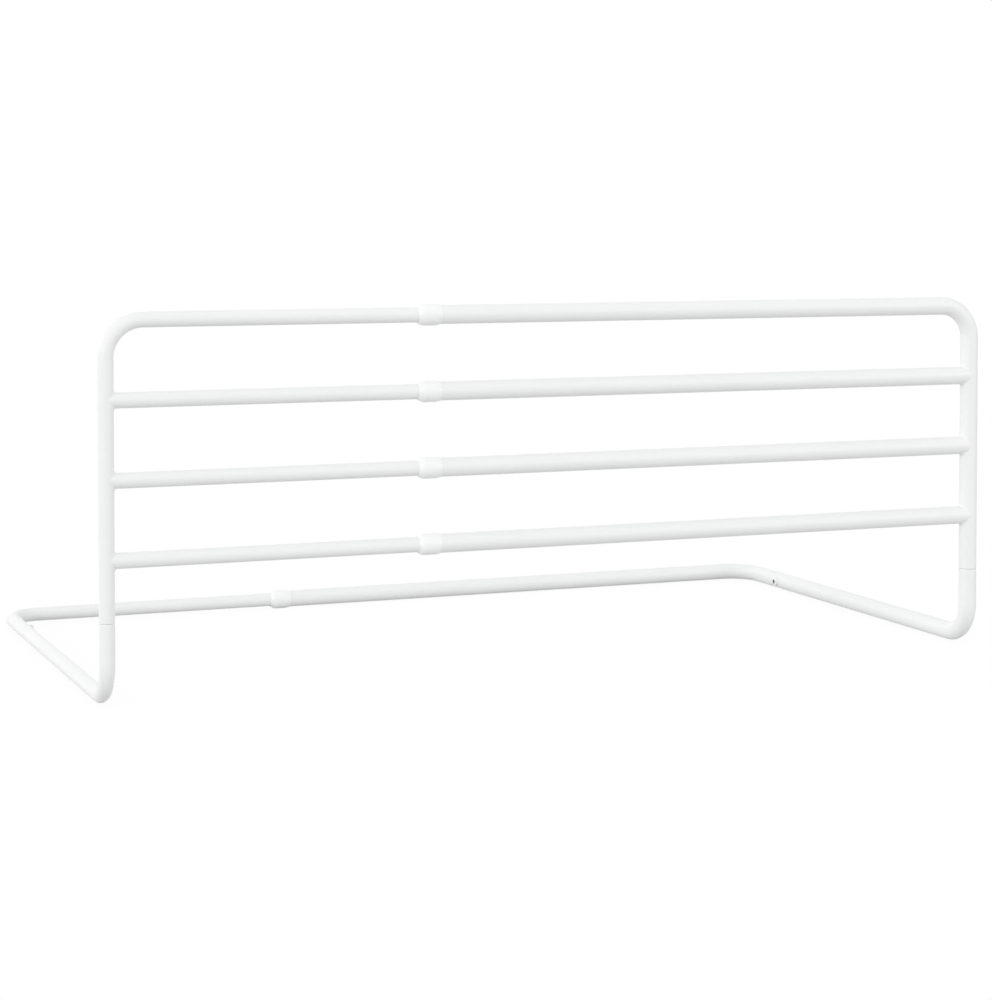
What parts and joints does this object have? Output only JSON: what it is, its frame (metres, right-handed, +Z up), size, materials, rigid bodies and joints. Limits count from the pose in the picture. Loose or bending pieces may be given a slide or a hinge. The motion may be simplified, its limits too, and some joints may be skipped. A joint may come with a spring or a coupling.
{
  "type": "bed guard rail",
  "caption": "Width-adjustable bed guard rail: two telescoping tubular halves with crossbars, plug-in legs and a rear bar.",
  "frame": {"origin": "middle of the rail's whole width and depth, level with its underside (the underside of the rear collar)", "axes": "+X along the rail from the thin-tubed half to the thick-tubed half, +Y from the panel back under the mattress, +Z up"},
  "size_m": [1.018, 0.5678, 0.4028],
  "materials": {
    "white_paint": "satin white powder coat",
    "collar_plastic": "smooth white moulded plastic",
    "guide_plastic": "natural moulded nylon",
    "bolt_paint": "white coated steel",
    "zinc_steel": "zinc plated steel"
  },
  "bodies": {
    "outer_half": {"right_frame_tube": "white_paint", "right_leg_tube": "white_paint", "right_rear_tube": "white_paint", "right_lower_crossbar": "white_paint", "right_middle_crossbar": "white_paint", "right_upper_crossbar": "white_paint", "right_rear_bolt": "bolt_paint", "right_saddle_nut": "zinc_steel", "lower_collar": "collar_plastic", "middle_collar": "collar_plastic", "upper_collar": "collar_plastic", "top_collar": "collar_plastic", "rear_collar": "collar_plastic"},
    "inner_half": {"left_frame_tube": "white_paint", "left_leg_tube": "white_paint", "left_rear_tube": "white_paint", "left_lower_crossbar": "white_paint", "left_middle_crossbar": "white_paint", "left_upper_crossbar": "white_paint", "left_rear_bolt": "bolt_paint", "left_saddle_nut": "zinc_steel", "lower_guide_plug": "guide_plastic", "middle_guide_plug": "guide_plastic", "upper_guide_plug": "guide_plastic", "top_guide_plug": "guide_plastic", "rear_guide_plug": "guide_plastic"}
  },
  "joints": [
    {"name": "width_slide", "type": "slide", "parent": "outer_half", "child": "inner_half", "axis": [-1, 0, 0], "range_m": [-0.258, 0.343]}
  ]
}
